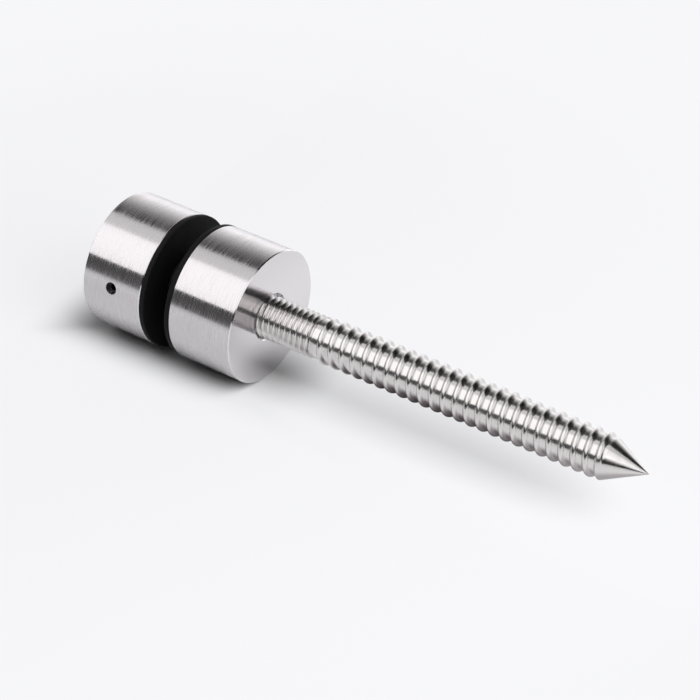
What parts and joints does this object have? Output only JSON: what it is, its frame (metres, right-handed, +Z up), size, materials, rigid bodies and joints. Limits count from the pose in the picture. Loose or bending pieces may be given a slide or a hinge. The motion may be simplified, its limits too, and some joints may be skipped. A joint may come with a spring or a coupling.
{
  "type": "glass panel standoff",
  "caption": "Round stainless standoff that clamps a glass panel between gaskets on a hanger bolt with a machine thread and a wood thread.",
  "frame": {"origin": "centre of the base's wall-side face, on the bolt's axis, in the plane of the wall", "axes": "+Y along the bolt into the wall, -Y out through the glass and the cap, +Z up, +X to the side that the set screw faces"},
  "size_m": [0.038, 0.1645, 0.038],
  "materials": {
    "brushed_stainless": "turned and brushed round the axis, satin",
    "bright_stainless": "rolled thread, bright",
    "dark_steel": "dull, dark",
    "black_rubber": "matte",
    "black_plastic": "matte"
  },
  "bodies": {
    "bolt": {"hanger_bolt": "bright_stainless", "glass_bush": "black_plastic"},
    "front_pad": {"front_gasket": "black_rubber"},
    "cap": {"cap": "brushed_stainless"},
    "set_screw": {"set_screw": "dark_steel"},
    "rear_pad": {"rear_gasket": "black_rubber"},
    "base": {"base": "brushed_stainless"}
  },
  "joints": [
    {"name": "cap_travel", "type": "slide", "parent": "bolt", "child": "front_pad", "axis": [0, -1, 0], "range_m": [0, 0.01226]},
    {"name": "cap_turn", "type": "hinge", "parent": "front_pad", "child": "cap", "pos_m": [0, -0.0395, 0], "axis": [0, -1, 0], "range_deg": [0, 2520]},
    {"name": "base_travel", "type": "slide", "parent": "bolt", "child": "rear_pad", "axis": [0, 1, 0], "range_m": [0, 0.01576]},
    {"name": "base_turn", "type": "hinge", "parent": "rear_pad", "child": "base", "pos_m": [0, -0.01, 0], "axis": [0, 1, 0], "range_deg": [0, 3240]},
    {"name": "set_screw_travel", "type": "slide", "parent": "cap", "child": "set_screw", "axis": [0.9744, 0, 0.225], "range_m": [0, 0.0042]}
  ],
  "couplings": [
    {"joint": "cap_travel", "follows": "cap_turn", "m_per_rad": 0.00027852},
    {"joint": "base_travel", "follows": "base_turn", "m_per_rad": 0.00027852}
  ]
}
